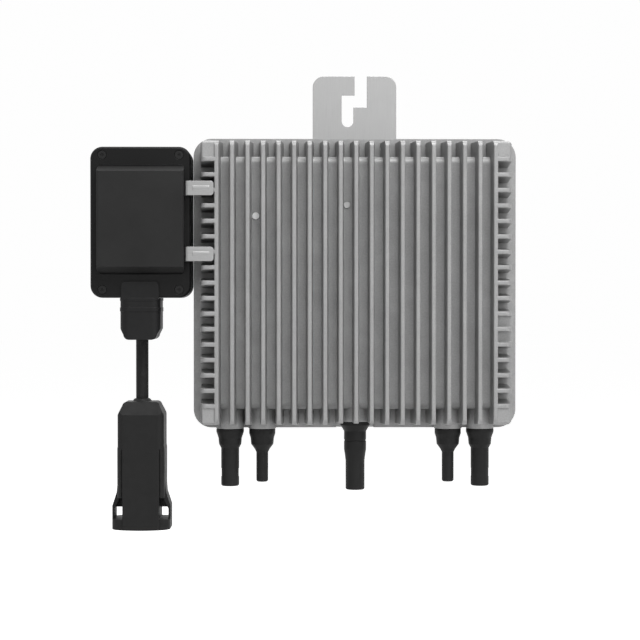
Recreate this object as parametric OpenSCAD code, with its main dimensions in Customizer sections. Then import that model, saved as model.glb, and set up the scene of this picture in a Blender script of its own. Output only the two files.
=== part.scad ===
// Solar microinverter: finned die-cast housing on a slotted bracket, five connectors below,
// and a relay box at its side with a short lead and plug.
// The origin is the bolt seat of the hanging slot, at the back face of the bracket.
// X runs to the right, Z up, and the fins face -Y.

/* [Body] */
// Width of the body across its flange
body_w = 230; // [220:1:280]
// Height of the body across its flange
body_h = 206; // [196:1:250]
// Corner radius of the flange
body_r = 13; // [8:0.5:15]
// Thickness of the housing flange
flange_t = 5; // [4:0.5:6]
// Depth from the back of the housing to the fin tips
housing_depth = 37.5; // [36:0.5:46]
// Thickness of the back plate
plate_t = 2.5; // [2:0.1:3]
// Margin between the flange edge and the side wall of the core
side_margin = 16.2; // [15:0.1:18]
// Margin between the flange edge and the top wall of the core
end_margin = 14; // [13:0.1:16]
// Thickness of the side and end walls of the core
wall_t = 2.4; // [2:0.1:3]
// Thickness of the front wall of the core
front_wall_t = 3; // [2.5:0.1:4]
// Radius along the top and bottom front edges of the core
core_edge_r = 5; // [3:0.5:7]

/* [Fins] */
// Distance between two cooling fins
fin_pitch = 10.8; // [10.4:0.1:12]
// Height of the fins above the valley floor
fin_h = 14; // [11:0.5:16]
// Thickness of a fin at its tip
fin_tip = 3; // [2:0.1:3.2]
// Draft of each fin flank in degrees
fin_draft = 3.2; // [2:0.1:3.5]
// Radius along each fin tip
fin_round = 0.8; // [0.5:0.1:0.9]
// Radius where the fins, ribs and corner blocks end
end_r = 4.5; // [3:0.5:6]
// Draft of the ends of the fins and ribs in degrees
end_draft = 2; // [1:0.5:3]
// Distance between two side ribs
rib_pitch = 10.75; // [10.4:0.05:12]
// Distance of the fin ends from the top and bottom edges of the flange
fin_inset = 3; // [2:0.5:5]
// Distance of the rib ends from the side edges of the flange
rib_inset = 5.5; // [4:0.5:7]
// How far the corner blocks stay below the fin tips
block_drop = 1; // [0.5:0.5:4]

/* [Bracket] */
// Width of the hanging bracket
bracket_w = 60; // [50:1:72]
// Thickness of the bracket sheet
bracket_t = 2; // [1.5:0.1:2.5]
// Corner radius at the top of the bracket
bracket_r = 8; // [5:0.5:10]
// Height of the bolt seat above the body
seat_rise = 13.5; // [12:0.5:20]
// Height of the bracket above the bolt seat
bracket_rise = 32; // [30:0.5:38]
// How far the bracket reaches down behind the body
bracket_lap = 56; // [52:1:64]
// Width of the part of the slot that holds the bolt
seat_w = 8.4; // [6.5:0.1:9]
// Width of the slot mouth
mouth_w = 8.8; // [7:0.1:9.4]
// Offset of the bolt seat from the bracket's middle
seat_x = -5; // [-5.4:0.1:-4.6]
// Offset of the slot mouth from the bracket's middle
mouth_x = 4.5; // [4.2:0.1:5]
// Height of the upper edge of the step in the slot above the bolt seat
step_top = 18.5; // [17:0.5:20]
// Height of the lower edge of the step in the slot above the bolt seat
step_low = 9.8; // [9:0.1:11]

/* [Connectors] */
// Distance of the connector axes from the mounting plane
connector_y = 15.5; // [15.3:0.1:16.5]
// Distance of the outer input connectors from the side edges of the flange
outer_dc_in = 26.2; // [26:0.1:28]
// Distance between an outer and an inner input connector
dc_spacing = 22.8; // [20:0.1:26]
// Radius of the threaded shank of an input connector
dc_shank_r = 4.4; // [4.2:0.1:4.5]
// Radius of the shroud on the outer connectors
shroud_r = 6.4; // [6.1:0.1:6.8]
// Length of the outer connectors below the body
shroud_len = 40.8; // [34:0.1:49]
// Radius of the nose on the inner connectors
nose_r = 4.2; // [3.8:0.1:4.4]
// Length of the inner connectors below the body
nose_len = 37.9; // [32:0.1:46]
// Radius of the input contacts
dc_pin_r = 1.5; // [1.2:0.1:1.7]
// Radius of the output connector's barrel
ac_barrel_r = 6.75; // [6.4:0.05:7.2]
// Radius of the output connector's threaded shank
ac_shank_r = 7; // [6.6:0.1:7.2]
// Length of the output connector below the body
ac_len = 43.5; // [38:0.1:52]

/* [Relay box] */
// Width of the relay box
relay_w = 70.2; // [66:0.1:82]
// Height of the relay box
relay_h = 105.5; // [100:0.5:127]
// Corner radius of the relay box
relay_r = 8.5; // [6:0.5:10]
// Gap between the relay box and the body
relay_gap = 0.3; // [0.3:0.1:4]
// Height of the box's middle above the body's middle
relay_rise = 42.3; // [38:0.1:44]
// Distance of the box's back from the mounting plane
relay_back = 5; // [3:0.5:6]
// Depth of the base of the box
relay_base_d = 25; // [24:0.5:28]
// Depth of the cover's flat rim
relay_lid_d = 5; // [4.5:0.5:6]
// How far the raised panel stands in front of the rim
panel_d = 10; // [9:0.5:12]
// Width of the raised panel
panel_w = 60.5; // [56:0.5:61]
// Height of the raised panel at its foot
panel_h = 76.7; // [70:0.1:78]
// Height that the bevels above and below the raised panel take
panel_bevel = 5.1; // [3:0.1:7]
// Wall thickness of the relay box
relay_wall = 2.5; // [2:0.1:3]
// Chamfer along the outer edges of the relay box
relay_edge = 1.2; // [0.6:0.1:1.6]
// Chamfer along the upright edges of the raised panel
panel_edge = 1.2; // [0.6:0.1:1.2]

/* [Straps] */
// Height of a strap
strap_h = 10; // [9:0.1:11]
// Thickness of a strap
strap_t = 1.5; // [1.2:0.1:2]
// Outer radius of the bend in a strap
strap_bend_r = 3; // [2.5:0.1:3.5]
// Width of the bead along the middle of a strap
bead_w = 3.6; // [3:0.1:5]
// Height of the bead
bead_h = 0.4; // [0.3:0.05:0.6]
// Which side rib above the middle the upper strap holds
upper_rib = 6; // [6:1:7]
// Which side rib above the middle the lower strap holds
lower_rib = 2; // [1:1:2]
// How far the upper strap sits above the middle of its rib
upper_shift = 1.2; // [0.5:0.1:1.4]
// How far the lower strap sits below the middle of its rib
lower_shift = 1.5; // [0.5:0.1:1.5]

/* [Lead and plug] */
// Diameter of the cable
cable_d = 8.8; // [7.5:0.1:10]
// Distance of the cable from the mounting plane
cable_y = 19; // [18:0.1:20]
// Distance of the lead's axis from the middle of the relay box
lead_shift = -0.4; // [-1:0.05:1]
// Width of the moulded outlet
outlet_w = 28.2; // [27:0.1:34]
// Length of the outlet below the relay box
outlet_len = 29.2; // [26:0.1:34]
// Width of the plug
plug_w = 32.4; // [32:0.1:38]
// Depth of the plug
plug_d = 30; // [28:0.5:34]
// Length of the plug
plug_len = 90.2; // [88:0.1:98]
// Width of the plug across its latch ears
plug_ear_w = 41; // [40:0.1:46]
// Radius of the plug's socket
plug_socket_r = 10.5; // [10:0.1:11]

/* [Hidden] */

$fn = 48;

// Small distances shared by many pieces
bite = 1;
screw_clear = 0.05;
pin_clear = 0.1;
hole_clear = 0.25;
fit_gap = 0.3;

// Depth stations, measured along Y from the mounting plane
plate_back = -bracket_t;
housing_back = plate_back - plate_t;
flange_front = housing_back - flange_t;
fin_front = housing_back - housing_depth;
valley_y = fin_front + fin_h;
end_over = 0.05;
cavity_front = valley_y + front_wall_t;

// Outline of the core and the cavity in it
half_w = body_w / 2;
half_h = body_h / 2;
core_x = half_w - side_margin;
core_z = half_h - end_margin;
cavity_x = core_x - wall_t;
cavity_z = core_z - wall_t;
cavity_r = 1.5;

// Counts of fins and ribs on each side of the middle one
fin_half = floor((core_x - fin_tip / 2) / fin_pitch);
rib_half = floor((core_z - fin_tip / 2) / rib_pitch);

// Main board and what stands on it
sheet_t = 0.4;
board_t = 1.6;
head_room = 2.5;
board_back = housing_back - head_room;
board_front = board_back - board_t;
board_clear = 1;
nut_room = 20;
board_x = cavity_x - board_clear;
board_low = -cavity_z + nut_room;
board_top = cavity_z - 3;

// Screws: shank radius, head radius and head height
plate_screw = [1.5, 2.8, 1.4];
bracket_screw = [2, 3.7, 1.8];
board_screw = [1.5, 2.6, 1.6];
box_screw = [1.5, 3, 1.8];
plate_screw_len = 6;
bracket_screw_len = 9;

// Places of the screws that hold the back plate, around the flange
plate_screw_in = 7.5;
plate_screw_low_x = 33;
plate_screw_top_x = 60;
plate_screw_at = [
  for (x = [-1, 1], z = [-1, 1]) [x * (half_w - 9.5), z * (half_h - 9.5)],
  for (x = [-1, 1]) [x * (half_w - plate_screw_in), 0],
  for (x = [-1, 1]) [x * plate_screw_top_x, half_h - plate_screw_in],
  for (x = [-1, 1]) [x * plate_screw_low_x, -half_h + plate_screw_in]
];

// Places of the screws that hold the bracket
bracket_hole_x = 20;
bracket_post_z = half_h - 43;
bracket_screw_at = [
  for (x = [-1, 1]) [x * bracket_hole_x, half_h - plate_screw_in],
  for (x = [-1, 1]) [x * bracket_hole_x, bracket_post_z]
];
bracket_post_r = 4.5;

// Places of the input connectors along the bottom edge
outer_dc_x = half_w - outer_dc_in;
inner_dc_x = outer_dc_x - dc_spacing;
dc_x = [-outer_dc_x, -inner_dc_x, inner_dc_x, outer_dc_x];

// Cast posts for the main board; the lower outer ones stand between the input terminals
post_r = 3.6;
post_in = 8;
board_post_at = [
  for (x = [-1, 1]) [x * (board_x - 4.5), board_top - post_in],
  for (x = [-1, 1]) [x * (outer_dc_x + inner_dc_x) / 2, board_low + post_in],
  [0, board_top - 50],
  [0, board_low + 30]
];

// Gasket of the housing
gasket_w = 2.2;
gasket_t = 1.8;
groove_clear = 0.1;
gasket_x = core_x + 0.3;
gasket_z = core_z + 0.3;
gasket_r = 6;

// Small fittings on the front wall
lens_x = -6.5 * fin_pitch;
lens_z = 47.1;
lens_r = 2.5;
vent_x = -0.565 * fin_pitch;
vent_z = 54.9;
vent_r = 2.3;

// Power stage: pads on cast pedestals
pedestal_at = [for (x = [-62, -24, 24, 62]) [x, -22]];
pedestal_w = 30;
pedestal_h = 14;
transistor_w = 10;
transistor_h = 11;
transistor_t = 2.3;
pad_t = 0.8;
pad_front = board_front - transistor_t - pad_t;

// Connectors: the outer face of the body's bottom edge is their seat
seat_z = -half_h;
ac_seat_rise = 5;
ac_seat_z = seat_z + ac_seat_rise;
boss_r = 9.8;
ac_boss_r = 11;
ac_notch_w = 27;
nut_t = 5;
dc_nut_r = 6.6;
ac_nut_r = 10.3;
shank_over = 1.5;
seal_r = 0.8;
dc_seal_ring = 6.4;
ac_seal_ring = 8.8;
dc_collar_r = 9.8;
nose_collar_r = 9.3;
dc_waist_r = 7.9;
waist_start = 6.8;
waist_end = 11.2;
barrel_start = 14;
nose_start = 17;
ac_collar_r = 10.5;
ac_body_r = 7.85;
ac_seam_z = ac_seat_z - 13.6;
dc_shank_top = -cavity_z + nut_t + shank_over;
shroud_bore_r = nose_r + fit_gap;
shroud_bore_len = 25;
sleeve_r = 2;
ac_pin_r = 1.1;
ac_pin_ring = 2.7;
ac_bore_r = 5;
terminal_w = 10;
terminal_h = 10;
terminal_d = 12;
terminal_z = board_low + 2;

// Earth boss on the right side, between two ribs
earth_rib_top = -2;
earth_rib_low = -4;
earth_z = (earth_rib_top + earth_rib_low) / 2 * rib_pitch;
earth_front = fin_front + 6;
earth_y = -22;
earth_hole_r = 1.65;
earth_hole_len = 8;

// Relay box places
relay_x = -half_w - relay_gap - relay_w / 2;
relay_seam = -relay_back - relay_base_d;
relay_rim = relay_seam - relay_lid_d;
panel_front = relay_rim - panel_d;
panel_x = relay_x + 0.45;
panel_z = relay_rise + 1.9;
relay_floor = -relay_back - relay_wall;
relay_screw_x = relay_w / 2 - 8.25;
relay_screw_z = relay_h / 2 - 5.7;
relay_post_r = 4.2;
relay_screw_len = 14;
box_seal_w = 1.4;
box_seal_t = 1;
relay_board_stand = 4;
relay_board_back = relay_floor - relay_board_stand;
relay_board_front = relay_board_back - board_t;
relay_board_w = relay_w - 2 * relay_wall - 6;
relay_bottom = relay_rise - relay_h / 2;
relay_board_low = relay_bottom + 13;
relay_board_top = relay_rise + relay_h / 2 - 12;
relay_board_mid = (relay_board_low + relay_board_top) / 2;
relay_stand_x = relay_board_w / 2 - 4;
relay_stand_z = (relay_board_top - relay_board_low) / 2 - 4;

// Straps
strap_clear = 0.1;
strap_back = fin_front - strap_clear;
strap_front = strap_back - strap_t;
strap_end = -core_x - 0.3;
strap_foot_x = panel_x + panel_w / 2;
strap_foot_back = relay_rim - 0.3;
strap_hole_y = (strap_front + strap_bend_r + strap_foot_back) / 2;
strap_end_r = 2;
strap_screw_len = 7;
tongue_len = 12;
tongue_in = 2.2;
tongue_t = 1.2;
tongue_w = 7;

// Outlet below the relay box
lead_x = relay_x + lead_shift;
cable_r = cable_d / 2;
outlet_top = relay_bottom - 0.1;
outlet_end = outlet_top - outlet_len;
outlet_front = relay_rim - 2;
outlet_back = -relay_back - 1.5;
outlet_r = 4;
outlet_slant = 2.6;
outlet_slant_h = 8;
outlet_lip = 0.35;
outlet_tab_rise = 11.5;
outlet_tab_r = 3;
outlet_neck_r = 8;
outlet_nut_r = 11;
outlet_seal_ring = 9.8;

// Plug
plug_top = outlet_end - 43.8;
plug_end = plug_top - plug_len;
plug_corner_r = 5;
plug_shoulder_r = 3;
plug_shoulder_w = 26.2;
plug_shoulder_h = 9;
plug_shoulder_d = 5;
plug_collar_h = 2;
plug_ear_z = plug_end + 17;
plug_flange_t = 7;
plug_core_w = 25.5;
plug_dome = 0.8;
plug_socket_len = 25;
plug_insert_len = 22;
plug_nose_r = 6.4;
plug_strip_w = 1.5;
lever_top = plug_top - 33;
lever_w = 2.4;
groove_wide = 0.8;
groove_deep = 1.7;
plug_seal_len = 7;
plug_seal_r = 7;
chamber_r = 8;

// Route of the cable, from the terminals in the relay box straight down into the plug
cable_points = [
  [-145.8, -19, -109],
  [-145.8, -19, -127],
  [-145.8, -19, -145],
  [-145.8, -19, -163],
  [-145.8, -19, -181],
  [-145.8, -19, -199],
  [-145.8, -19, -218]
];
cable_sides = 12;

// Frame helpers

// Moves a piece drawn about the body's middle to its place under the bolt seat
module at_body() {
  translate([-seat_x, 0, -seat_rise - half_h]) children();
}

// Extrudes an outline drawn in X and Z from one depth to another
module slab(y_back, y_front) {
  translate([0, y_back, 0]) rotate([90, 0, 0]) linear_extrude(y_back - y_front) children();
}

// Extrudes a section drawn as (-Z, Y) along X
module along_x(x0, x1) {
  translate([x0, 0, 0]) rotate([0, 90, 0]) linear_extrude(x1 - x0) children();
}

// Turns a profile drawn as (radius, height) about an upright axis
module turned(x, y) {
  translate([x, y, 0]) rotate_extrude() children();
}

// A round peg along Y
module peg(x, z, y_back, y_front, r) {
  slab(y_back, y_front) translate([x, z]) circle(r = r);
}

// A round rod along Z
module rod(x, y, z_low, z_high, r) {
  translate([x, y, z_low]) cylinder(h = z_high - z_low, r = r);
}

// A block from its corners
module block(x0, x1, y0, y1, z0, z1) {
  translate([x0, y0, z0]) cube([x1 - x0, y1 - y0, z1 - z0]);
}

// A rectangle with round corners, about its middle
module rounded_rect(w, h, r) {
  square([w - 2 * r, h], center = true);
  square([w, h - 2 * r], center = true);
  for (x = [-1, 1], z = [-1, 1]) translate([x * (w / 2 - r), z * (h / 2 - r)]) circle(r = r);
}

// A rectangle from its corners
module rect(x0, x1, z0, z1) {
  translate([x0, z0]) square([x1 - x0, z1 - z0]);
}

// A frame between two rounded rectangles
module rounded_frame(w, h, r, band) {
  difference() {
    rounded_rect(w + band, h + band, r + band / 2);
    rounded_rect(w - band, h - band, r - band / 2);
  }
}

// A flush screw with a hexagon socket, pointing to -Y
module flush_screw(x, z, y, size, len) {
  translate([x, y, z]) rotate([90, 0, 0]) difference() {
    rotate_extrude() polygon([
      [0, 0], [size[1], 0], [size[0], size[2]], [size[0], len], [0, len]
    ]);
    translate([0, 0, -bite]) cylinder(h = bite + size[2] * 0.7, r = size[0] * 0.8, $fn = 6);
  }
}

// The hole for a flush screw
module flush_hole(x, z, y, size, len, gap) {
  r = size[0] + gap;
  head = size[1] + gap;
  translate([x, y, z]) rotate([90, 0, 0]) rotate_extrude() polygon([
    [0, -bite], [head, -bite], [head, 0], [r, size[2]], [r, len], [0, len]
  ]);
}

// A cap screw with a hexagon socket along +Z, its seat at the origin
module cap_screw(size, len) {
  difference() {
    union() {
      cylinder(h = len, r = size[0]);
      translate([0, 0, -size[2]]) cylinder(h = size[2], r = size[1]);
    }
    translate([0, 0, -size[2] - bite]) cylinder(h = bite + size[2] * 0.6, r = size[0] * 0.8, $fn = 6);
  }
}

// A cap screw pointing to -Y, its seat at depth y
module front_screw(x, z, y, size, len) {
  translate([x, y, z]) rotate([90, 0, 0]) cap_screw(size, len);
}

// Bracket and back

module slot_outline() {
  translate([seat_x, 0]) circle(r = seat_w / 2);
  rect(seat_x - seat_w / 2, seat_x + seat_w / 2, 0, step_top);
  rect(seat_x - seat_w / 2, mouth_x + mouth_w / 2, step_low, step_top);
  rect(mouth_x - mouth_w / 2, mouth_x + mouth_w / 2, step_low, bracket_rise + bite);
}

module bracket_outline() {
  seat = half_h + seat_rise;
  top = seat + bracket_rise;
  low = half_h - bracket_lap;
  mid = (top + low) / 2;
  difference() {
    translate([0, mid]) rounded_rect(bracket_w, top - low, bracket_r);
    translate([0, seat]) slot_outline();
  }
}

module mounting_bracket() {
  color([0.74, 0.74, 0.75]) at_body() difference() {
    slab(0, -bracket_t) bracket_outline();
    for (p = bracket_screw_at)
      flush_hole(p[0], p[1], 0, bracket_screw, bracket_t + bite, pin_clear);
  }
}

module bracket_screws() {
  color([0.7, 0.7, 0.72]) at_body() for (p = bracket_screw_at)
    flush_screw(p[0], p[1], 0, bracket_screw, bracket_screw_len);
}

module back_plate() {
  color([0.62, 0.63, 0.64]) at_body() difference() {
    slab(plate_back, housing_back) rounded_rect(body_w, body_h, body_r);
    for (p = plate_screw_at)
      flush_hole(p[0], p[1], plate_back, plate_screw, plate_t + bite, pin_clear);
    for (p = bracket_screw_at)
      peg(p[0], p[1], plate_back + bite, housing_back - bite, bracket_screw[0] + pin_clear);
  }
}

module back_plate_screws() {
  color([0.7, 0.7, 0.72]) at_body() for (p = plate_screw_at)
    flush_screw(p[0], p[1], plate_back, plate_screw, plate_screw_len);
}

module insulating_sheet() {
  color([0.93, 0.9, 0.78]) at_body() difference() {
    slab(housing_back, housing_back - sheet_t) rounded_rect(2 * board_x, 2 * cavity_z - 6, 3);
    for (x = [-1, 1])
      peg(x * bracket_hole_x, bracket_post_z, 0, housing_back - bite, bracket_post_r + hole_clear);
  }
}

module housing_gasket() {
  color([0.12, 0.12, 0.12]) at_body() slab(housing_back, housing_back - gasket_t)
    rounded_frame(2 * gasket_x, 2 * gasket_z, gasket_r, gasket_w);
}

// Die-cast housing

// Half thickness of a fin at depth y
function fin_half_at(y) = fin_tip / 2 + (y - fin_front) * tan(fin_draft);

// Section of a fin or rib, across its length and along Y
module fin_section() {
  root_y = flange_front + bite;
  edge_y = fin_front + fin_round;
  tip = fin_half_at(edge_y);
  polygon([
    [-fin_half_at(root_y), root_y],
    [-tip, edge_y],
    [-tip + fin_round, fin_front],
    [tip - fin_round, fin_front],
    [tip, edge_y],
    [fin_half_at(root_y), root_y]
  ]);
  for (side = [-1, 1]) translate([side * (tip - fin_round), edge_y]) circle(r = fin_round);
}

// The fins, ribs and blocks are drawn a little too long, and the relief cuts their ends
module fins() {
  reach = half_h - fin_inset + bite;
  for (k = [-fin_half : fin_half])
    translate([k * fin_pitch, 0, -reach]) linear_extrude(2 * reach) fin_section();
}

module side_ribs() {
  start = core_x - bite;
  reach = half_w - rib_inset + bite;
  for (k = [-rib_half : rib_half], side = [-1, 1])
    translate([side > 0 ? start : -reach, 0, k * rib_pitch]) rotate([0, 90, 0])
      linear_extrude(reach - start) fin_section();
}

module corner_blocks() {
  wide = body_w - 2 * rib_inset + 2 * bite;
  high = body_h - 2 * fin_inset + 2 * bite;
  from_x = fin_half * fin_pitch;
  from_z = rib_half * rib_pitch;
  slab(flange_front + bite, fin_front + block_drop) for (x = [-1, 1], z = [-1, 1])
    intersection() {
      rounded_rect(wide, high, body_r - fin_inset + bite);
      scale([x, z]) rect(from_x, half_w, from_z, half_h);
    }
}

// Section with drafted sides and round shoulders that all ends of the relief keep within
module end_section(half) {
  front = fin_front - end_over;
  deep = flange_front + 2 * bite;
  tip = half - (flange_front - front) * tan(end_draft);
  mid = tip + end_r * ((1 - sin(end_draft)) * tan(end_draft) - cos(end_draft));
  side = [mid + end_r * cos(end_draft), front + end_r * (1 - sin(end_draft))];
  foot = [half + 2 * bite * tan(end_draft), deep];
  polygon([
    [-foot[0], deep], [-side[0], side[1]], [-mid, front],
    [mid, front], side, foot
  ]);
  for (x = [-1, 1]) translate([x * mid, front + end_r]) circle(r = end_r);
}

module relief() {
  intersection() {
    union() {
      fins();
      side_ribs();
      corner_blocks();
    }
    along_x(-half_w, half_w) end_section(half_h - fin_inset);
    translate([0, 0, -half_h]) linear_extrude(body_h) end_section(half_w - rib_inset);
  }
}

module core_profile() {
  root_y = flange_front + bite;
  rect(-core_z, core_z, valley_y + core_edge_r, root_y);
  rect(-core_z + core_edge_r, core_z - core_edge_r, valley_y, root_y);
  for (z = [-1, 1]) translate([z * (core_z - core_edge_r), valley_y + core_edge_r])
    circle(r = core_edge_r);
}

module earth_boss() {
  block(
    core_x - bite, half_w - rib_inset, earth_front, flange_front + bite,
    earth_rib_low * rib_pitch, earth_rib_top * rib_pitch
  );
}

module connector_bosses() {
  for (x = dc_x) rod(x, -connector_y, seat_z, -core_z + bite, boss_r);
  rod(0, -connector_y, ac_seat_z, -core_z + bite, ac_boss_r);
}

module housing_shape() {
  slab(housing_back, flange_front) rounded_rect(body_w, body_h, body_r);
  along_x(-core_x, core_x) core_profile();
  relief();
  earth_boss();
  connector_bosses();
}

module housing_cuts() {
  slab(housing_back + bite, cavity_front) rounded_rect(2 * cavity_x, 2 * cavity_z, cavity_r);
  slab(housing_back + bite, housing_back - gasket_t)
    rounded_frame(2 * gasket_x, 2 * gasket_z, gasket_r, gasket_w + 2 * groove_clear);
  for (p = plate_screw_at)
    peg(p[0], p[1], housing_back + bite, flange_front + 1.2, plate_screw[0] + screw_clear);
  for (x = [-1, 1])
    peg(x * bracket_hole_x, half_h - plate_screw_in, housing_back + bite,
      flange_front - 0.5, bracket_screw[0] + screw_clear);
  for (x = dc_x) rod(x, -connector_y, seat_z - bite, -cavity_z + bite, dc_shank_r + pin_clear);
  rod(0, -connector_y, seat_z - bite, -cavity_z + bite, ac_shank_r + pin_clear);
  block(
    -ac_notch_w / 2, ac_notch_w / 2, fin_front - bite, housing_back + bite,
    seat_z - bite, ac_seat_z
  );
  peg(lens_x, lens_z, cavity_front + bite, valley_y - bite, lens_r + pin_clear);
  peg(vent_x, vent_z, cavity_front + bite, valley_y - bite, vent_r + pin_clear);
  translate([half_w - rib_inset - earth_hole_len, earth_y, earth_z]) rotate([0, 90, 0])
    cylinder(h = earth_hole_len + bite, r = earth_hole_r);
}

module housing_posts() {
  for (p = board_post_at) difference() {
    peg(p[0], p[1], board_front, cavity_front - bite, post_r);
    peg(p[0], p[1], board_front + bite, board_front - 7, board_screw[0] + screw_clear);
  }
  for (x = [-1, 1]) difference() {
    peg(x * bracket_hole_x, bracket_post_z, housing_back, cavity_front - bite, bracket_post_r);
    peg(x * bracket_hole_x, bracket_post_z, housing_back + bite,
      housing_back - bracket_screw_len, bracket_screw[0] + screw_clear);
  }
  for (p = pedestal_at) slab(pad_front, cavity_front - bite)
    translate(p) square([pedestal_w, pedestal_h], center = true);
}

module front_housing() {
  color([0.6, 0.61, 0.62]) at_body() union() {
    difference() {
      housing_shape();
      housing_cuts();
    }
    housing_posts();
  }
}

module status_lens() {
  color([0.92, 0.92, 0.9]) at_body() union() {
    peg(lens_x, lens_z, cavity_front + 0.8, valley_y - 0.6, lens_r);
    peg(lens_x, lens_z, cavity_front + 2, cavity_front + 0.1, lens_r + 1);
  }
}

module vent_plug() {
  color([0.85, 0.85, 0.83]) at_body() union() {
    peg(vent_x, vent_z, cavity_front + 0.8, valley_y - 0.8, vent_r);
    peg(vent_x, vent_z, cavity_front + 2, cavity_front + 0.1, vent_r + 1);
  }
}

// Electronics in the housing

module main_board() {
  color([0.1, 0.35, 0.2]) at_body() difference() {
    slab(board_back, board_front) difference() {
      rect(-board_x, board_x, board_low, board_top);
      for (p = board_post_at) translate(p) circle(r = board_screw[0] + pin_clear);
      for (x = [-1, 1]) translate([x * bracket_hole_x, bracket_post_z])
        circle(r = bracket_post_r + hole_clear);
    }
  }
}

module board_screws() {
  color([0.75, 0.75, 0.77]) at_body() for (p = board_post_at)
    front_screw(p[0], p[1], board_back, board_screw, board_t + 6);
}

// Middles of the two transformers
transformer_at = [[-52, 12], [52, 12]];
core_plate_t = 3.2;
core_len = 36;
core_wide = 26;
core_total = 15;
core_leg_r = 6;
winding_r = 12.6;

module transformer_core() {
  leg = core_total - 2 * core_plate_t;
  slab(board_front, board_front - core_plate_t) rounded_rect(core_len, core_wide, 2);
  slab(board_front - core_total + core_plate_t, board_front - core_total)
    rounded_rect(core_len, core_wide, 2);
  slab(board_front - bite, board_front - core_plate_t - leg - bite) {
    circle(r = core_leg_r);
    for (x = [-1, 1]) translate([x * (core_len / 2 - 2), 0]) square([4, core_wide - 6], center = true);
  }
}

module transformer_cores() {
  color([0.2, 0.2, 0.22]) at_body() for (p = transformer_at)
    translate([p[0], 0, p[1]]) transformer_core();
}

module transformer_windings() {
  color([0.72, 0.4, 0.16]) at_body() for (p = transformer_at) translate([p[0], 0, p[1]])
    slab(board_front - core_plate_t - pin_clear, board_front - core_total + core_plate_t + pin_clear)
      difference() {
        circle(r = winding_r);
        circle(r = core_leg_r + pin_clear);
      }
}

capacitor_r = 6.3;
capacitor_h = 15.5;
capacitor_at = [for (x = [-75, -60, -45, -30, 30, 45, 60, 75]) [x, -44]];

module input_capacitors() {
  color([0.16, 0.17, 0.2]) at_body() for (p = capacitor_at) translate([p[0], board_front, p[1]])
    rotate([90, 0, 0]) rotate_extrude() polygon([
      [0, 0], [capacitor_r - 0.4, 0], [capacitor_r, 0.4], [capacitor_r, 1.8],
      [capacitor_r - 0.5, 2.3], [capacitor_r, 2.8], [capacitor_r, capacitor_h - 0.5],
      [capacitor_r - 0.5, capacitor_h], [0, capacitor_h]
    ]);
}

module film_capacitors() {
  color([0.75, 0.62, 0.2]) at_body() for (p = [[-30, 46], [62, 52], [78, 52]])
    slab(board_front, board_front - 14) translate(p) rounded_rect(9, 22, 1);
}

choke_at = [0, 12];
choke_r = 12;
choke_core_w = 6;
choke_core_h = 9;
choke_wire = 1.4;

module choke_core() {
  back = board_front - choke_wire - pin_clear;
  color([0.3, 0.33, 0.3]) at_body() translate([choke_at[0], back, choke_at[1]])
    rotate([90, 0, 0]) rotate_extrude()
      rect(choke_r - choke_core_w / 2, choke_r + choke_core_w / 2, 0, choke_core_h);
}

module choke_winding() {
  gap = pin_clear;
  color([0.75, 0.42, 0.18]) at_body() translate([choke_at[0], board_front, choke_at[1]])
    rotate([90, 0, 0]) for (turn = [15, 195]) rotate([0, 0, turn]) rotate_extrude(angle = 150)
      translate([choke_r, (choke_core_h + 2 * choke_wire + 2 * gap) / 2]) difference() {
        square([choke_core_w + 2 * choke_wire + 2 * gap, choke_core_h + 2 * choke_wire + 2 * gap],
          center = true);
        square([choke_core_w + 2 * gap, choke_core_h + 2 * gap], center = true);
      }
}

module power_transistors() {
  color([0.1, 0.1, 0.11]) at_body() for (p = pedestal_at, x = [-7, 7])
    slab(board_front, board_front - transistor_t) translate([p[0] + x, p[1]])
      square([transistor_w, transistor_h], center = true);
}

module thermal_pads() {
  color([0.45, 0.55, 0.72]) at_body() for (p = pedestal_at)
    slab(board_front - transistor_t, pad_front) translate(p)
      square([pedestal_w - 2, pedestal_h - 1], center = true);
}

module control_board() {
  color([0.08, 0.28, 0.34]) at_body() {
    block(-16, 16, board_front - 13, board_front, 68, 69.2);
  }
}

module status_led() {
  color([0.9, 0.95, 0.9]) at_body() union() {
    peg(lens_x, lens_z, board_front, board_front - 10, 2.4);
    peg(lens_x, lens_z, board_front - 9, cavity_front + 2.3, 1.8);
  }
}

module contact_hole(x, y, r) {
  rod(x, y, terminal_z - bite, terminal_z + terminal_h - 2, r);
}

module input_terminals() {
  color([0.2, 0.42, 0.24]) at_body() for (x = dc_x) difference() {
    block(
      x - terminal_w / 2, x + terminal_w / 2, board_front - terminal_d, board_front,
      terminal_z, terminal_z + terminal_h
    );
    contact_hole(x, -connector_y, dc_pin_r + pin_clear);
  }
}

module output_terminals() {
  color([0.2, 0.42, 0.24]) at_body() difference() {
    block(
      -terminal_w, terminal_w, board_front - terminal_d - 2, board_front,
      terminal_z, terminal_z + terminal_h
    );
    for (a = [90, 210, 330]) contact_hole(
      ac_pin_ring * cos(a), -connector_y + ac_pin_ring * sin(a), ac_pin_r + pin_clear
    );
  }
}

// Input connectors

// Groove for the seal around a shank, in the face of the collar at height z
module seal_groove(ring, z) {
  rect(ring - seal_r - pin_clear, ring + seal_r + pin_clear, z - 2 * seal_r, z + bite);
}

// Outline shared by the input connectors, from the top of the shank down to the waist
function dc_back(collar_r, collar_low) = [
  [0, dc_shank_top], [dc_shank_r, dc_shank_top], [dc_shank_r, seat_z],
  [collar_r - 0.4, seat_z], [collar_r, seat_z - 0.6], [collar_r, seat_z - collar_low],
  [dc_waist_r + 0.4, seat_z - waist_start], [dc_waist_r, seat_z - waist_end]
];

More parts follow.
